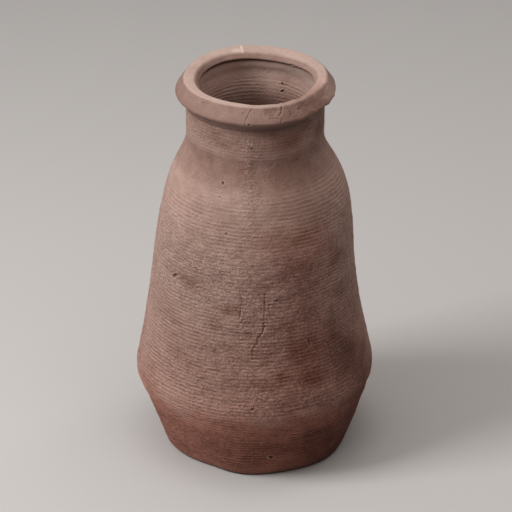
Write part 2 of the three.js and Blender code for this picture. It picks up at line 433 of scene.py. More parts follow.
def mark_depth(marks, spots):
    """How deep the marks have cut at each spot, with a low lip pushed up beside each."""
    cuts, lips = np.zeros(len(spots)), np.zeros(len(spots))
    ragged = 1 + ragged_share * swelling(spots, ragged_size, ragged_size, 61)
    one_sided = 0.7 + 0.6 * swelling(spots, one_sided_size, one_sided_size, 67)
    uneven = np.clip(0.9 + 0.4 * swelling(spots, uneven_size, uneven_size, 97), 0.6, 1.2)
    for path, width, depth in marks:
        away = distance_to(path, spots) / width * ragged
        cuts = np.maximum(cuts, uneven * depth * (1 - smoothstep(away, mark_fading_share, 1)))
        from_lip = (away - mark_lip_place) / mark_lip_spread
        lip = mark_lip_share * depth * np.exp(-(from_lip**2))
        lips = np.maximum(lips, lip * one_sided)
    return np.where(cuts > 0, cuts, -lips)


# What the hands left all over the outside.
ridges_foot = 0.078
ridges_top = 0.303
ridges_top_slant = 0.010
ridges_top_towards = 340
ridge_zones_stray = 0.007
neck_ridges_foot = 0.345
neck_ridges_top = 0.372
neck_ridges_share = 0.9
foot_ridges_share = 1.4
# Where the hand pressed in its own way: a direction in degrees and how far round.
pressed_front = (270, 28)
pressed_right = (325, 30)
# Heights over which it eased from pressing hard to pressing lightly.
pressure_fall = (0.150, 0.210)
# Rougher zones: how rough, direction, how far round, foot, top and how softly they end.
rough_zones = [
    (0.75, 287, 62, 0.095, 0.215, 0.050),
    (0.55, 266, 5, 0.285, 0.365, 0.010),
    (0.25, 330, 24, 0.095, 0.290, 0.030),
]
# Heights over which it turns from rough to even, or from even to wiped.
foot_roughness_fall = (0.055, 0.090)
foot_dents_fall = (0.055, 0.095)
bore_wiping_rise = (0.348, 0.370)
# The shoulder that was wiped smooth: its foot, its top and how softly it ends.
wiped_shoulder = (0.290, 0.345, 0.020)
# Where the rim is worn and where it has weathered pale.
worn_rim = (325, 26)
weathered_rim = (342, 30)


def ridge_strength(spots):
    """How deep the ridges are: strokes of uneven pressure, faint on the foot and shoulder."""
    around, height = polar(spots)[1:]
    height += ridge_zones_stray * swelling(spots, 0.03, 0.03, 41)
    top = ridges_top + ridges_top_slant * np.cos(turn_from(around, ridges_top_towards))
    on_body = smoothstep(height, ridges_foot - 0.018, ridges_foot + 0.004)
    on_body *= 1 - smoothstep(height, top - 0.006, top + 0.012)
    on_neck = band(height, neck_ridges_foot, neck_ridges_top, 0.006)
    on_foot = band(height, slab_thickness, ridges_foot, 0.012)
    on_foot *= np.clip(0.80 + 0.75 * swelling(spots, 0.024, 0.013, 53), 0.15, 1.4)
    strokes = 0.92 + 0.6 * swelling(spots, 0.010, 0.0060, 43)
    patches = 1.0 + 0.4 * swelling(spots, 0.026, 0.018, 47)
    low = 1 - smoothstep(height, *pressure_fall)
    right, front = on_side(around, *pressed_right), on_side(around, *pressed_front)
    pressed_high = 0.65 - 0.07 * front + 0.40 * right
    pressed_low = 1.08 - 0.23 * front - 0.13 * right
    pressed = pressed_high + low * (pressed_low - pressed_high)
    strength = np.clip(strokes * patches, 0.05, 1.6) * pressed
    zones = np.maximum(on_body, neck_ridges_share * on_neck)
    return strength * np.maximum(zones, foot_ridges_share * on_foot)


def ridge_wave(spots, height, pitch):
    """From -1 in a groove to 1 on a ridge. The ridges run into each other here and there."""
    slip = 0.6 * swelling(spots, 0.010, 0.006, 29)
    return np.cos(2 * math.pi * height / pitch + slip)


def roughness_of(spots):
    """How rough the clay is: most at the front, low on the body, and least on the rim."""
    around, height = polar(spots)[1:]
    everywhere = np.clip(0.70 + 0.35 * swelling(spots, 0.040, 0.030, 31), 0.3, 1.2)
    smooth_shoulder = 1 - 0.6 * band(height, *wiped_shoulder)
    worn = on_side(around, *worn_rim)
    smooth_rim = 1 - (0.65 - 0.45 * worn) * smoothstep(height, neck_top, edge_height)
    rough = 0.25 * (1 - smoothstep(height, *foot_roughness_fall))
    for strength, *zone in rough_zones:
        rough += strength * in_zone(around, height, *zone)
    return everywhere * smooth_shoulder * smooth_rim + rough


def wiped(height):
    """How far the top of the bore was left unwiped: little, where the hand went round."""
    return 1 - 0.65 * smoothstep(height, *bore_wiping_rise)


def coarseness(spots):
    """Small lumps and grit in the surface."""
    middling = 0.00042 * swelling(spots, 0.013, 0.010, 17)
    small = 0.00027 * swelling(spots, 0.0076, 0.0046, 23)
    grains = 0.00031 * swelling(spots, 0.0043, 0.0027, 27)
    return (middling + small + grains) * roughness_of(spots)


def lumps(spots):
    """The uneven surface of beaten and wiped clay, from broad dents to coarse grit."""
    broad = 0.0011 * swelling(spots, 0.045, 0.034, 11)
    on_foot = 1 - smoothstep(spots[:, 2], *foot_dents_fall)
    foot_dents = 0.0007 * on_foot * swelling(spots, 0.019, 0.014, 13)
    return broad + foot_dents + coarseness(spots)


def stray(spots):
    """How far a ridge strays up or down from its level."""
    return 0.0008 * swelling(spots, 0.050, 0.020, 3) + 0.00028 * swelling(spots, 0.011, 0.006, 9)


# Modelling.
def unselect():
    """Leaves nothing selected, so that an operator acts on the new piece alone."""
    for thing in bpy.context.selected_objects:
        thing.select_set(False)


def turned(name, outline, on_axis=False):
    """Draws an outline as a ring of points and spins it once round the pot's axis."""
    unselect()
    bpy.ops.mesh.primitive_circle_add(vertices=len(outline), radius=foot_radius)
    piece = bpy.context.object
    piece.name = name
    for vertex, (radius, height) in zip(piece.data.vertices, outline):
        vertex.co = (radius, 0, height)
    for edge in piece.data.edges:
        edge.select = on_axis and set(edge.vertices) == {0, len(outline) - 1}
    bpy.context.tool_settings.mesh_select_mode = (False, True, False)
    for vertex in piece.data.vertices:
        vertex.select = False
    bpy.ops.object.mode_set(mode="EDIT")
    if on_axis:
        bpy.ops.mesh.delete(type="EDGE")
    bpy.ops.mesh.select_all(action="SELECT")
    bpy.ops.mesh.spin(
        steps=steps_round, angle=2 * math.pi, use_auto_merge=True, center=(0, 0, 0), axis=(0, 0, 1)
    )
    bpy.ops.mesh.select_all(action="SELECT")
    bpy.ops.mesh.remove_doubles(threshold=close_together)
    bpy.ops.mesh.normals_make_consistent(inside=False)
    bpy.ops.object.mode_set(mode="OBJECT")
    return piece


def read_all(parts, name):
    """The place, middle or outward direction of each point or face of a piece."""
    values = np.empty(len(parts) * 3, np.float32)
    parts.foreach_get(name, values)
    return values.reshape(-1, 3).astype(float)


def move_spots(piece, spots):
    """Moves the points of a piece."""
    piece.data.vertices.foreach_set("co", spots.astype(np.float32).ravel())
    piece.data.update()


def refine(piece, marks):
    """Cuts the faces near each mark more finely, so that it has a sharp shape."""
    faces = piece.data.polygons
    centres = read_all(faces, "center")
    near = np.zeros(len(faces), bool)
    for path, width, depth in marks:
        near |= distance_to(path, centres) < width + mark_surround
    for parts in (piece.data.vertices, piece.data.edges):
        parts.foreach_set("select", np.zeros(len(parts), bool))
    faces.foreach_set("select", near)
    bpy.context.tool_settings.mesh_select_mode = (False, False, True)
    bpy.ops.object.mode_set(mode="EDIT")
    bpy.ops.mesh.subdivide(number_cuts=mark_cuts, ngon=False)
    bpy.ops.object.mode_set(mode="OBJECT")


def ring_heights(foot, top, step):
    """Levels between a section's foot and its top, on steps counted from the ground."""
    first = math.ceil(foot / step + 0.4)
    last = math.floor(top / step - 0.4)
    return [foot, *[step * count for count in range(first, last + 1)], top]


def joint(height, *walls):
    """A luted joint on top of a section, sized by the thinner of the walls that meet there."""
    wall = min(walls)
    return height, wall, float(outside_radius(height)) - wall / 2


def ridge(height, wall, middle, gap=0.0):
    """The ridge of a joint, from its outer side to its inner side, widened by a gap."""
    root = joint_root_share * wall / 2 + gap
    top = joint_top_share * wall / 2 + gap
    level = height + joint_height + gap
    outer_side = [(middle + root, height), (middle + top, level)]
    return [*outer_side, (middle - top, level), (middle - root, height)]


def groove(height, wall, middle):
    """The groove over that ridge, from its inner side to its outer side."""
    return ridge(height, wall, middle, slip_gap)[::-1]


foot_joint = joint(slab_thickness, lower_wall_thickness)
belly_joint = joint(belly, lower_wall_thickness, body_wall_thickness)
neck_joint = joint(body_top, body_wall_thickness, neck_wall_thickness)
rim_joint = joint(neck_top, neck_wall_thickness)


def wall_outline(below, above, wall, inner_step):
    """The outline of a wall section, up its outside and down its inside."""
    foot, top = below[0], above[0]
    outer = ring_heights(foot, top, ridge_pitch / rings_per_ridge)
    inner = ring_heights(foot, top, inner_step)[::-1]
    return [
        *[(float(outside_radius(height)), height) for height in outer],
        *ridge(*above),
        *[(float(outside_radius(height)) - wall, height) for height in inner],
        *groove(*below),
    ]


# The relief settles to nothing this near a joint, and coarse clay is about this high.
settling = 0.004
coarse_height = 0.0012


def clear_of_joints(height, foot, top):
    """0 at the two joints of a section, and 1 well away from both."""
    return smoothstep(height, foot, foot + settling) * (1 - smoothstep(height, top - settling, top))


def shape_outside(spots, marks, foot, top):
    """Ridges, lumps and marks on the outside of the wall, between two joints.

    The lumps run on over the joints, so that no seam shows.
    """
    around, height = polar(spots)[1:]
    level = height + stray(spots) * clear_of_joints(height, foot, top)
    wave = ridge_wave(spots, height, ridge_pitch) * ridge_strength(spots)
    cut = mark_depth(marks, spots)
    relief = lumps(spots) + ridge_depth * wave - cut
    raised = wave + coarseness(spots) / coarse_height
    return spots_at(outside_radius(level) + relief, around, level), raised, cut


def shape_inside(spots, marks, wall, pitch, depth, foot, top):
    """Finger ridges and lumps on the inside of the wall, between two joints."""
    around, height = polar(spots)[1:]
    strength = np.clip(0.7 + 1.0 * swelling(spots, 0.022, 0.006, 53), 0.05, 1.5)
    strength *= 1 - smoothstep(height, neck_top - 0.014, neck_top - 0.002)
    strength *= clear_of_joints(height, foot, top)
    wave = ridge_wave(spots, height + 1.5 * stray(spots), pitch) * strength
    cut = mark_depth(marks, spots)
    relief = lumps(spots) * wiped(height) + depth * wave - cut
    raised = wave + coarseness(spots) * wiped(height) / coarse_height
    return spots_at(outside_radius(height) - wall - relief, around, height), raised, cut


# A browner stripe, fire browning with painted shade on the shaded side, turns as it climbs, in degrees.
smoke_towards = 338
smoke_turn_up_the_pot = 44
smoke_neck_turn = 20
smoke_spread = 30
# Browner clouds on the wall, which hold painted shade as well on the shaded right: direction, height,
# reach across and up, and how strong they are.
brown_clouds = [(on_wall(degrees, height), *shape) for degrees, height, *shape in [
    (256, 0.33, 0.03, 0.014, 0.36),
    (294, 0.33, 0.026, 0.018, 0.5),
    (311, 0.33, 0.026, 0.014, 0.5),
    (230, 0.334, 0.034, 0.022, 0.25),
    (240, 0.362, 0.02, 0.012, 0.45),
    (308, 0.36, 0.026, 0.014, 1),
    (338, 0.356, 0.02, 0.014, 0.95),
    (245, 0.28, 0.034, 0.02, 0.25),
    (304, 0.242, 0.038, 0.026, 0.72),
    (295, 0.266, 0.04, 0.014, 0.7),
    (272, 0.222, 0.02, 0.012, 0.45),
    (324, 0.225, 0.026, 0.02, 1.25),
    (299, 0.182, 0.034, 0.022, 0.95),
    (222, 0.182, 0.03, 0.02, 0.35),
    (245, 0.175, 0.03, 0.02, 0.22),
    (270, 0.155, 0.04, 0.03, 0.5),
    (236, 0.143, 0.036, 0.032, 0.42),
    (228.5, 0.139, 0.017, 0.006, 0.85),
    (259, 0.156, 0.015, 0.006, 0.85),
    (249, 0.174, 0.013, 0.005, 0.6),
    (223, 0.167, 0.013, 0.005, 0.6),
    (229, 0.213, 0.015, 0.007, 0.6),
    (256, 0.194, 0.015, 0.006, 0.5),
    (308, 0.145, 0.042, 0.038, 1.1),
    (303, 0.12, 0.03, 0.018, 1.1),
    (325, 0.13, 0.045, 0.05, 1.2),
    (287, 0.12, 0.034, 0.012, 0.75),
    (288, 0.091, 0.034, 0.009, 0.85),
    (287, 0.064, 0.046, 0.014, 1.1),
    (291, 0.034, 0.06, 0.024, 1.15),
]] + [
    (on_rim(305, 0.0765, 0.3915), 0.014, 0.007, 0.3),
    (on_rim(142, 0.0585, 0.399), 0.012, 0.006, 0.35),
    (on_rim(166, 0.0585, 0.3985), 0.012, 0.006, 0.3),
]
# Sides that the fire reddened, and sides where shade and light are painted: a direction in degrees
# and how far round. A zone has its foot, its top and its softness as well.
blush_side = (296, 27)
rim_soot_side = (288, 24)
foot_dirt_side = (328, 34)
belly_dirt_zone = (322, 12, 0.090, 0.165, 0.020)
washed_towards = 150
# Bands: foot, top and softness. Rises and falls: the heights that they run between.
less_smoke_band = (0.285, 0.330, 0.020)
less_blush_band = (0.290, 0.335, 0.025)
neck_dirt_band = (0.320, 0.340, 0.012)
belly_dust_band = (0.060, 0.080, 0.008)
bare_neck_foot_band = (0.318, 0.338, 0.010)
smoke_turn_rise = (0.330, 0.350)
blush_rise = (0.060, 0.130)
blush_fall = (0.335, 0.350)
bore_soot_fall = (0.340, 0.373)
rim_soot_rise = (0.364, neck_top)
front_soot_rise = (0.356, 0.370)
foot_dirt_fall = (0.05, 0.13)


def smoked(spots):
    """Where the clay is browner: up the shaded side, as fire browning with painted shade, and in
    clouds.
    """
    around, height = polar(spots)[1:]
    towards = smoke_towards - smoke_turn_up_the_pot * height / crest
    towards = towards + smoke_neck_turn * smoothstep(height, *smoke_turn_rise)
    smoke = 0.62 * on_side(around - np.radians(towards), 0, smoke_spread)
    smoke *= 1 - 0.5 * band(height, *less_smoke_band)
    for middle, across, up, strength in brown_clouds:
        away = (spots - np.array(middle)) / (across, across, up)
        smoke = np.maximum(smoke, strength * np.exp(-(away**2).sum(axis=1)))
    clouds = 0.95 + 0.6 * swelling(spots, 0.050, 0.040, 83) + 0.4 * swelling(spots, 0.016, 0.012, 89)
    return np.clip(smoke * clouds, 0, 1.1)


def blushed(spots):
    """Where the clay fired redder: down the right of the front."""
    around, height = polar(spots)[1:]
    uneven = 0.85 + 0.4 * swelling(spots, 0.030, 0.030, 101)
    blush = np.clip(uneven * on_side(around, *blush_side), 0, 1) * smoothstep(height, *blush_rise)
    faded = 0.8 * band(height, *less_blush_band) + 0.5 * smoothstep(height, *blush_fall)
    return blush * np.clip(1 - faded, 0, 1) * (1 - smoothstep(height, neck_top - 0.010, neck_top))


def washed_side(around):
    """How far a direction is towards the left, where the top of the bore has painted light."""
    return np.maximum(np.cos(turn_from(around, washed_towards)), 0)


def sooted(spots, inside=False):
    """Painted shade under the rim, deeper in the neck, low on the shaded side by the foot and on the
    shaded right above the belly, with a darker band at the neck's foot.
    """
    around, height = polar(spots)[1:]
    if inside:
        # Painted shade deeper in the neck, starting lower on the left.
        return 1 - smoothstep(height + 0.014 * washed_side(around), *bore_soot_fall)
    # Painted shade under the rim, strongest at the front right.
    under_rim = 0.40 * smoothstep(height, *rim_soot_rise)
    under_rim += 0.24 * on_side(around, *rim_soot_side) * smoothstep(height, *front_soot_rise)
    under_rim *= 1 - smoothstep(height, neck_top, edge_height)
    # A darker band at the neck's foot.
    low_neck = 0.20 * band(height, *neck_dirt_band)
    # Painted shade on the shaded right, above the belly.
    right = 0.42 * in_zone(around, height, *belly_dirt_zone)
    # Painted shade low on the shaded side, by the foot.
    low = 0.75 * on_side(around, *foot_dirt_side) * (1 - smoothstep(height, *foot_dirt_fall))
    return np.maximum.reduce([under_rim, low, right, low_neck])


def scraped(spots):
    """Where the surface has pale marks."""
    pale = np.zeros(len(spots))
    for path, width, strength in pale_marks:
        away = distance_to(path, spots) / width
        pale = np.maximum(pale, strength * (1 - smoothstep(away, 0, 1)))
    return pale


def facing_up(height):
    """How far the outside of the wall faces upwards at a height, from -1 to 1."""
    lean = (outside_radius(height + touch) - outside_radius(height - touch)) / (2 * touch)
    return -lean / np.sqrt(1 + lean**2)


def dust_on_wall(height):
    """Paler where the wall faces up and darker where it faces down, dust with painted light and shade;
    dust lies just below the belly, and the neck's foot is less pale.
    """
    below_belly = 0.60 * band(height, *belly_dust_band)
    above_shoulder = 0.30 * band(height, *bare_neck_foot_band)
    return 0.5 * facing_up(height) + below_belly - above_shoulder


def bore_paleness(around):
    """How much painted light the top of the bore has: most on the left, which the key lamp leaves in
    shade.
    """
    return 0.05 + 0.85 * washed_side(around)


def finish_clay(piece, spots, node, slot, clay, **notes):
    """Forms the dressed points by hand and gives the piece its finish and its place.

    The notes are values at each point, which the piece keeps for its material to read.
    """
    move_spots(piece, hand_form(spots))
    notes.update(smoked=smoked(spots), blushed=blushed(spots), scraped=scraped(spots))
    for name, values in notes.items():
        kept = piece.data.attributes.new(name, "FLOAT", "POINT")
        kept.data.foreach_set("value", values.astype(np.float32))
    piece.data.materials.append(clay)
    unselect()
    piece.select_set(True)
    bpy.context.view_layer.objects.active = piece
    bpy.ops.object.shade_smooth_by_angle(angle=math.radians(55))
    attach(piece, "root")
    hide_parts(node)


def wall_piece(node, below, above, wall, inner, marks, slot, clay):
    """A wall section, with its joint faces left as the solids have them."""
    pitch, depth, inner_step = inner
    piece = turned("pot_" + node, wall_outline(below, above, wall, inner_step))
    refine(piece, marks)
    spots = read_all(piece.data.vertices, "co")
    radius, around, height = polar(spots)
    raised, cuts = np.zeros(len(spots)), np.zeros(len(spots))
    dusted = dust_on_wall(height)
    foot, top = below[0], above[0]
    level = (height > foot - touch) & (height < top + touch)
    outer = level & (np.abs(radius - outside_radius(height)) < touch)
    inside = level & (np.abs(radius - outside_radius(height) + wall) < touch)
    spots[outer], raised[outer], cuts[outer] = shape_outside(spots[outer], marks, foot, top)
    dressed = shape_inside(spots[inside], marks, wall, pitch, depth, foot, top)
    spots[inside], raised[inside], cuts[inside] = dressed
    # Painted light on the left of the bore's upper part, which the key lamp leaves in shade.
    dusted_bore = 0.8 * washed_side(around) * smoothstep(height, neck_foot, neck_top - 0.01)
    dusted = np.where(inside, dusted_bore, dusted)
    # Painted shade under the rim, deeper in the neck and low on the shaded side.
    soot = np.where(inside, sooted(spots, inside=True), sooted(spots))
    washing = smoothstep(height, bore_wiping_rise[0], neck_top)
    pale = np.where(inside, bore_paleness(around) * washing, 0)
    rough = np.where(inside, wiped(height), 1) * roughness_of(spots)
    finish_clay(
        piece, spots, node, slot, clay, raised=raised, cut=cuts, dusted=dusted, sooted=soot,
        washed=pale, rough=rough,
    )


def base_outline():
    """A flat underside, a rolled heel, a side that leans as the wall does, and the floor."""
    lean = math.atan(landmarks[0][2])
    across, down = math.cos(lean), math.sin(lean)
    flat = (foot_radius * across - slab_thickness * down - heel_roll * (1 - down)) / across
    turns = np.linspace(-math.pi / 2, -lean, roll_steps)
    heel = [(flat + heel_roll * math.cos(t), heel_roll + heel_roll * math.sin(t)) for t in turns]
    shares = (0, 0.25, 0.5, 0.75)
    underside = [(flat * share, 0) for share in shares]
    side = [
        (foot_radius - (slab_thickness - height) * math.tan(lean), height)
        for height in np.linspace(heel[-1][1], slab_thickness, heel_side_steps + 1)[1:]
    ]
    joint_ring = ridge(*foot_joint)
    floor = [(joint_ring[-1][0] * share, slab_thickness) for share in shares[::-1]]
    return [*underside, *heel, *side, *joint_ring, *floor]


def base_piece(clay):
    """The base slab, whose underside stays flat."""
    piece = turned("pot_base_slab", base_outline(), on_axis=True)
    refine(piece, wall_marks)
    spots = read_all(piece.data.vertices, "co")
    radius, around, height = polar(spots)
    side = (height > touch) & (radius > float(outside_radius(slab_thickness)) - 2 * heel_roll)
    side &= (height < slab_thickness - touch) | (radius > foot_radius - touch)
    cut = mark_depth(wall_marks, spots) * side
    relief = lumps(spots) * smoothstep(height, 0, slab_thickness) - cut
    raised = coarseness(spots) / coarse_height
    spots[side] = spots_at(radius + relief, around, height)[side]
    # Paler where the side faces up and darkest on the underside: dust with painted light and shade.
    dusted = np.where(height > touch, facing_up(height), -1)
    finish_clay(
        piece, spots, "base_slab", "foot_clay", clay, raised=raised, cut=cut, dusted=dusted,
        sooted=sooted(spots), washed=np.zeros(len(spots)), rough=roughness_of(spots),
    )


# The rim.
def side_turn(start, end):
    """The direction from either centre in which a straight side touches two rolls.

    Each of the two is a corner of the outline: the radius and height of its centre, and the
    size of its roll.
    """
    across, up = end[0] - start[0], end[1] - start[1]
    lean = math.acos((start[2] - end[2]) / math.hypot(across, up))
    return math.atan2(up, across) % (2 * math.pi) - lean


def hollowed(start, end):
    """The underside of the rim, which a fingertip hollowed a little along the neck."""
    across, up = end[0] - start[0], end[1] - start[1]
    length = math.hypot(across, up)
    points = []
    for share in np.linspace(0, 1, hollow_steps + 1)[:-1]:
        depth = 4 * hollow_depth * share * (1 - share)
        points.append((start[0] + across * share - up / length * depth,
                       start[1] + up * share + across / length * depth))
    return points


def rim_outline():
    """From the neck out under the edge, up the face, over the top and down into the mouth."""
    edge = neck_radius + rim_overhang - edge_roll
    lip = bore_radius - lip_inset + lip_roll
    brink = neck_radius + rim_overhang - brink_inset - brink_roll
    corners = [
        (neck_radius, rim_foot, 0),
        (edge, edge_height, edge_roll),
        (brink, crest - brink_drop - brink_roll, brink_roll),
        (lip + mouth_roll, crest - mouth_drop - mouth_roll, mouth_roll),
        (lip, crest - lip_drop, lip_roll),
        (bore_radius - bore_lean_in, crest - cove_drop, 0),
    ]
    turns = [side_turn(start, end) for start, end in zip(corners, corners[1:])]
    under_edge = (edge + edge_roll * math.cos(turns[0]), edge_height + edge_roll * math.sin(turns[0]))
    outline = hollowed((neck_radius, neck_top), under_edge)
    for (radius, height, roll), start, end in zip(corners[1:], turns, turns[1:]):
        for turn in np.linspace(start, start + (end - start) % (2 * math.pi), roll_steps):
            outline.append((radius + roll * math.cos(turn), height + roll * math.sin(turn)))
    for height in np.linspace(crest - cove_drop, neck_top, hollow_steps):
        leaning = bore_lean_in * smoothstep(height, neck_top, crest - cove_drop)
        outline.append((bore_radius - leaning, height))
    return outline


def spaced(outline):
    """The same outline with points put in along its longer sides."""
    points = [outline[0]]
    for start, end in zip(outline, outline[1:]):
        steps = max(1, round(math.dist(start, end) / side_step))
        for step in range(1, steps + 1):
            share = step / steps
            points.append(tuple(a + (b - a) * share for a, b in zip(start, end)))
    return points


def rim_lumps(spots):
    """The rim is smoother than the wall, except where it has weathered on the right."""
    broad = 0.0005 * swelling(spots, 0.026, 0.026, 71)
    small = 0.00022 * swelling(spots, 0.0085, 0.0085, 73)
    grains = 0.00012 * swelling(spots, 0.0034, 0.0034, 79)
    worn = 1 + 4.2 * on_side(polar(spots)[1], *worn_rim)
    return broad + (small + grains) * worn


def reshaped(spots):
    """The brink runs nearer the mouth in front."""
    radius, around, height = polar(spots)
    up_face = np.clip((height - edge_height) / (crest - brink_drop - edge_height), 0, 1)
    over_top = np.clip((radius - bore_radius) / (neck_radius - bore_radius), 0, 1)
    in_front = np.maximum(np.cos(turn_from(around, brink_shift_towards)), 0) ** brink_shift_bend
    inwards = brink_shift * in_front * np.minimum(up_face, over_top)
    return spots_at(radius - inwards, around, height)


rim_settling = 0.008
bare_edge = 0.007


def rim_piece(clay):
    """The rolled rim, smoothed by a wet hand, and since cracked and flaked."""
    piece = turned("pot_rim_roll", [*spaced(rim_outline()), *groove(*rim_joint)])
    refine(piece, [*rim_marks, *pale_marks])
    spots = read_all(piece.data.vertices, "co")
    radius, around, height = polar(spots)
    outward = read_all(piece.data.vertices, "normal")
    away = np.minimum(np.abs(radius - neck_radius), np.abs(radius - bore_radius))
    seam = (height < neck_top + touch) & (away < touch)
    from_axis = np.where(radius > neck_radius - touch, 1, -1)
    outward[seam] = spots_at(from_axis, around, np.zeros(len(spots)))[seam]
    free = smoothstep(height, rim_foot, rim_foot + rim_settling)
    cut = mark_depth(rim_marks, spots) * free
    unwiped = np.where(radius < bore_radius + touch, wiped(height), 1)
    relief = lumps(spots) * unwiped * (1 - free) + rim_lumps(spots) * free - cut
    hidden = (height < rim_foot + joint_height + touch) & (away > touch) & (radius < neck_radius)
    spots += outward * np.where(hidden, 0, relief)[:, None]
    in_mouth = radius < bore_radius + touch
    in_bore = in_mouth & (height < crest - cove_drop + touch)
    # Painted shade on the face near the edge, where it turns under.
    by_edge = 1 - smoothstep(height, edge_height, edge_height + bare_edge)
    weathered = on_side(around, *weathered_rim)
    # The top paler and the faces darker: dust with painted light and shade. The weathered right is
    # paler.
    on_top = smoothstep(outward[:, 2], 0.55, 1)
    dusted = 1.9 * on_top - 0.9 - 0.45 * by_edge + weathered * (1 - on_top)
    # Painted light on the left of the bore.
    dusted = np.where(in_bore, 0.8 * washed_side(around), dusted)
    # Painted shade under the lip, strongest on the left; outside the mouth, the painted shade under the
    # rim.
    under_lip = band(height, crest - cove_drop - 0.001, crest - lip_drop - lip_roll / 2, 0.0010)
    under_lip *= 0.10 + 0.70 * washed_side(around)
    soot = np.where(in_mouth, under_lip, sooted(spots))
    # Painted light in the bore, and paler clay where the rim has weathered on the right.
    pale = np.where(in_bore, bore_paleness(around), 0.30 * weathered**3 * (1 - in_mouth))
    rough = unwiped * roughness_of(spots)
    finish_clay(
        piece, reshaped(spots), "rim_roll", "rim_clay", clay, raised=relief / coarse_height,
        cut=cut, dusted=dusted, sooted=soot, washed=pale, rough=rough,
    )


# The finish.
def add_node(tree, kind, inputs, **settings):
    """Adds a node, sets it up and joins or sets its inputs."""
    made = tree.nodes.new(kind)
    for name, value in settings.items():
        setattr(made, name, value)
    for name, value in inputs.items():
        if isinstance(value, bpy.types.NodeSocket):
            tree.links.new(value, made.inputs[name])
        else:
            made.inputs[name].default_value = value
    return made


def noise(tree, where, size, detail=4, roughness=0.6):
    """Cloudy variation whose clouds are about so many metres across."""
    inputs = {"Vector": where, "Scale": 1 / size, "Detail": detail, "Roughness": roughness}
    return add_node(tree, "ShaderNodeTexNoise", inputs).outputs["Fac"]


def calculate(tree, operation, *values):
    """A sum, product or other operation on two or three values."""
    return add_node(tree, "ShaderNodeMath", dict(enumerate(values)), operation=operation).outputs[0]


def ramp(tree, value, low, high, start=0.0, end=1.0):
    """Takes low to start and high to end, softly, and stops there."""
    inputs = {"Value": value, "From Min": low, "From Max": high, "To Min": start, "To Max": end}
    return add_node(
        tree, "ShaderNodeMapRange", inputs, interpolation_type="SMOOTHSTEP"
    ).outputs["Result"]


def blend_colour(tree, share, first, second, way="MIX"):
    """Goes from the first colour to the second, or multiplies the first by the second."""
    mix = {0: share, 6: first, 7: second}
    return add_node(tree, "ShaderNodeMix", mix, data_type="RGBA", blend_type=way).outputs[2]


# Colours of the clay, light and dark, tints that the fire gave it, and tints of painted shade and
# painted light.
dust = (0.48, 0.332, 0.280, 1)
brown = (0.215, 0.118, 0.092, 1)
umber = (0.190, 0.108, 0.086, 1)
# Fire browning, with painted shade on the shaded side.
smoke_tint = (0.56, 0.43, 0.385, 1)
# A tint of painted shade.
soot_tint = (0.40, 0.30, 0.27, 1)
blush_tint = (1.07, 0.92, 0.90, 1)
# Painted light in the bore, and the rim's weathered paleness.
washed_clay = (0.70, 0.48, 0.41, 1)
# The foot's redder clay, made darker as well: painted shade low on the pot.
red_dust = (0.428, 0.183, 0.133, 1)
red_brown = (0.153, 0.058, 0.040, 1)
# Painted shade in pits and cracks.
deep = (0.075, 0.033, 0.024, 1)
pale_clay = (0.62, 0.50, 0.43, 1)
rim_dust = (0.415, 0.302, 0.258, 1)
rim_brown = (0.215, 0.128, 0.104, 1)
# How far across the clay's variations are, in metres, and how strong the two finest are.
patch_size = 0.050
mottle_size = 0.010
streak_size = 0.016
speck_size = 0.0036
grit_size = 0.0016
speck_share = 1.35
grit_share = 3.20
grain_height = 0.0013
# From where to where a change of colour runs: from darker to paler clay, with dust and painted light
# and shade in it, in the darkest patches, down the belly and the body in metres, and over the lips and
# cuts of the marks in metres.
dustiness = (-0.05, 2.15)
stained_patches = (0.46, 0.28)
red_fall = (0.137, 0.103)
reddish_fall = (0.250, 0.120)
lip_heights = (-0.00003, -0.0003)
cut_depths = (0.0004, 0.0016)


def flattened(tree, where, squash):
    """The same places, squashed, so that a pattern lies flatter on the pot."""
    return add_node(tree, "ShaderNodeMapping", {"Vector": where, "Scale": squash}).outputs[0]


def read_note(tree, name):
    """A value that was kept at each point of the piece."""
    return add_node(tree, "ShaderNodeAttribute", {}, attribute_name=name).outputs["Fac"]


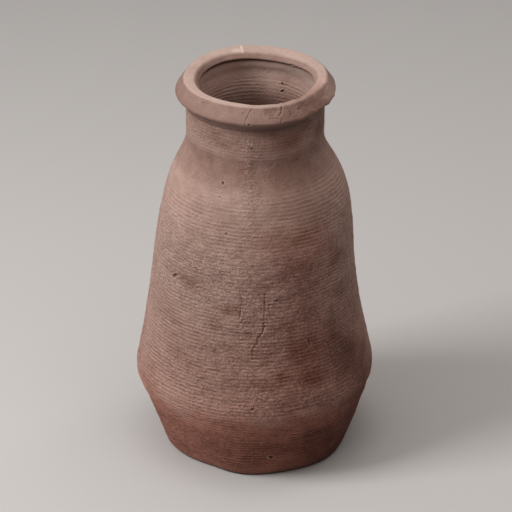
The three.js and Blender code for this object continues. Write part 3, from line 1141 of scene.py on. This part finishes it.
def fired_clay(name, pale, dark, roughness):
    """Clay with dust and painted light and shade, browner in the patches and in the grooves, where dirt
    and painted shade lie, and redder and darker towards the foot, the darkness partly painted shade.
    """
    material = bpy.data.materials.new(name)
    material.use_nodes = True
    tree = material.node_tree
    tree.nodes.clear()
    where = tree.nodes.new("ShaderNodeTexCoord").outputs["Object"]
    raised, cuts = read_note(tree, "raised"), read_note(tree, "cut")
    dusted, rough = read_note(tree, "dusted"), read_note(tree, "rough")
    level = add_node(tree, "ShaderNodeSeparateXYZ", {"Vector": where}).outputs["Z"]
    patches = noise(tree, where, patch_size)
    mottle = noise(tree, where, mottle_size, detail=3)
    streaks = noise(tree, flattened(tree, where, (1, 1, 6)), streak_size, detail=3)
    squat = flattened(tree, where, (0.8, 0.8, 1.2))
    specks = noise(tree, squat, speck_size, detail=3, roughness=0.7)
    grit = noise(tree, squat, grit_size, detail=2, roughness=0.7)
    fine = calculate(tree, "MULTIPLY_ADD", specks, speck_share, -(speck_share + grit_share) / 2)
    fine = calculate(tree, "MULTIPLY_ADD", grit, grit_share, fine)
    dusty = calculate(tree, "MULTIPLY", patches, 0.80)
    # Ridges and grit paler and grooves darker, as dust, dirt and painted relief shade; also the dust
    # and painted light noted at each point.
    for part, amount in [(raised, 0.34), (mottle, 1.0), (streaks, 0.30), (fine, rough), (dusted, 0.70)]:
        dusty = calculate(tree, "MULTIPLY_ADD", part, amount, dusty)
    share = ramp(tree, dusty, *dustiness)
    upper = blend_colour(tree, share, dark, pale)
    stained = blend_colour(tree, ramp(tree, patches, *stained_patches, 0, 0.3), upper, umber)
    lower = blend_colour(tree, share, red_brown, red_dust)
    edge = calculate(tree, "MULTIPLY_ADD", patches, 0.060, level)
    edge = calculate(tree, "MULTIPLY_ADD", mottle, 0.020, edge)
    redness = ramp(tree, edge, *red_fall)
    reddish = ramp(tree, edge, *reddish_fall, 0, 0.38)
    colour = blend_colour(tree, reddish, stained, lower)
    colour = blend_colour(tree, redness, colour, lower)
    # Painted light in the bore, and the rim's weathered paleness.
    colour = blend_colour(tree, read_note(tree, "washed"), colour, washed_clay)
    # Tints: the fire's reddening, its browning with painted shade on the shaded side, and painted
    # shade.
    for kind, tint in [("blushed", blush_tint), ("smoked", smoke_tint), ("sooted", soot_tint)]:
        colour = blend_colour(tree, read_note(tree, kind), colour, tint, "MULTIPLY")
    colour = blend_colour(tree, read_note(tree, "scraped"), colour, pale_clay)
    # Painted highlight, with dust, on the raised lips beside the marks.
    colour = blend_colour(tree, ramp(tree, cuts, *lip_heights, 0, 0.5), colour, pale)
    # Painted shade in the cuts, darker the deeper they go.
    colour = blend_colour(tree, ramp(tree, cuts, *cut_depths, 0, 0.72), colour, deep)
    tall = calculate(tree, "MULTIPLY_ADD", specks, 1.6, grit)
    tall = calculate(tree, "MULTIPLY", tall, rough)
    grain = {"Height": tall, "Strength": 0.9, "Distance": grain_height}
    surface = {
        "Base Color": colour,
        "Roughness": ramp(tree, mottle, 0.3, 0.7, roughness + 0.06, roughness - 0.06),
        "Normal": add_node(tree, "ShaderNodeBump", grain).outputs["Normal"],
        "Specular IOR Level": 0.3,
    }
    shader = add_node(tree, "ShaderNodeBsdfPrincipled", surface)
    output = tree.nodes.new("ShaderNodeOutputMaterial")
    tree.links.new(shader.outputs["BSDF"], output.inputs["Surface"])
    return material


# The room.
camera_tilt = 27.8
camera_distance = 3.5968
camera_lens = 250
camera_aim = 0.2
aim_right = 0.0011
aim_up = 0.0019


def set_camera():
    """A long lens that looks down on the front of the pot."""
    tilt = math.radians(camera_tilt)
    look = Vector((0, math.cos(tilt), -math.sin(tilt)))
    up = Vector((0, math.sin(tilt), math.cos(tilt)))
    target = Vector((aim_right, 0, camera_aim)) + up * aim_up
    place = target - look * camera_distance
    bpy.ops.object.camera_add(location=place, rotation=(math.pi / 2 - tilt, 0, 0))
    camera = bpy.context.object
    camera.data.sensor_width = 36
    camera.data.lens = camera_lens
    camera.data.clip_end = 50
    bpy.context.scene.camera = camera


def soft_light(name, azimuth, elevation, distance, size, power, colour=(1, 1, 1)):
    """A square lamp that faces the pot, so far round from the front and so high."""
    turn, rise = math.radians(azimuth), math.radians(elevation)
    level = math.cos(rise)
    away = Vector((math.sin(turn) * level, -math.cos(turn) * level, math.sin(rise)))
    middle = Vector((0, 0, camera_aim))
    bpy.ops.object.light_add(type="AREA", location=middle + away * distance)
    lamp = bpy.context.object
    lamp.name = name
    lamp.rotation_euler = away.to_track_quat("Z", "Y").to_euler()
    lamp.data.size = size
    lamp.data.energy = power
    lamp.data.color = colour


def set_room():
    """A plain pale floor, a soft lamp on the left, a weak one behind and a wide one overhead."""
    unselect()
    bpy.ops.mesh.primitive_plane_add(size=16)
    floor = bpy.context.object
    floor.name = "floor"
    paint = bpy.data.materials.new("pale_floor")
    paint.use_nodes = True
    shader = paint.node_tree.nodes["Principled BSDF"]
    shader.inputs["Base Color"].default_value = (0.50, 0.49, 0.48, 1)
    shader.inputs["Roughness"].default_value = 0.9
    floor.data.materials.append(paint)
    soft_light("key_light", azimuth=-70, elevation=42, distance=2.2, size=0.8, power=38)
    soft_light("edge_light", azimuth=130, elevation=28, distance=2.2, size=0.8, power=3.5)
    soft_light(
        "overhead_light", azimuth=0, elevation=84, distance=1.9, size=2.6, power=34,
        colour=(1, 0.93, 0.89),
    )
    world = bpy.data.worlds.new("room")
    world.use_nodes = True
    background = world.node_tree.nodes["Background"]
    background.inputs["Color"].default_value = (1, 0.94, 0.90, 1)
    background.inputs["Strength"].default_value = 0.10
    bpy.context.scene.world = world
    bpy.context.scene.view_settings.view_transform = "Standard"


set_camera()
set_room()

foot_clay = fired_clay("foot_clay", dust, brown, 0.88)
ringed_clay = fired_clay("ringed_clay", dust, brown, 0.88)
rim_clay = fired_clay("rim_clay", rim_dust, rim_brown, 0.78)
fingers = (finger_ridge_pitch, finger_ridge_depth, finger_ridge_pitch / 2)
neck_rings = (neck_ridge_pitch, neck_ridge_depth, neck_ridge_pitch / 4)

base_piece(foot_clay)
wall_piece(
    "lower_wall", foot_joint, belly_joint, lower_wall_thickness, fingers, wall_marks,
    "foot_clay", foot_clay,
)
wall_piece(
    "body_wall", belly_joint, neck_joint, body_wall_thickness, fingers, wall_marks,
    "ringed_clay", ringed_clay,
)
wall_piece(
    "neck_collar", neck_joint, rim_joint, neck_wall_thickness, neck_rings, neck_marks,
    "ringed_clay", ringed_clay,
)
rim_piece(rim_clay)
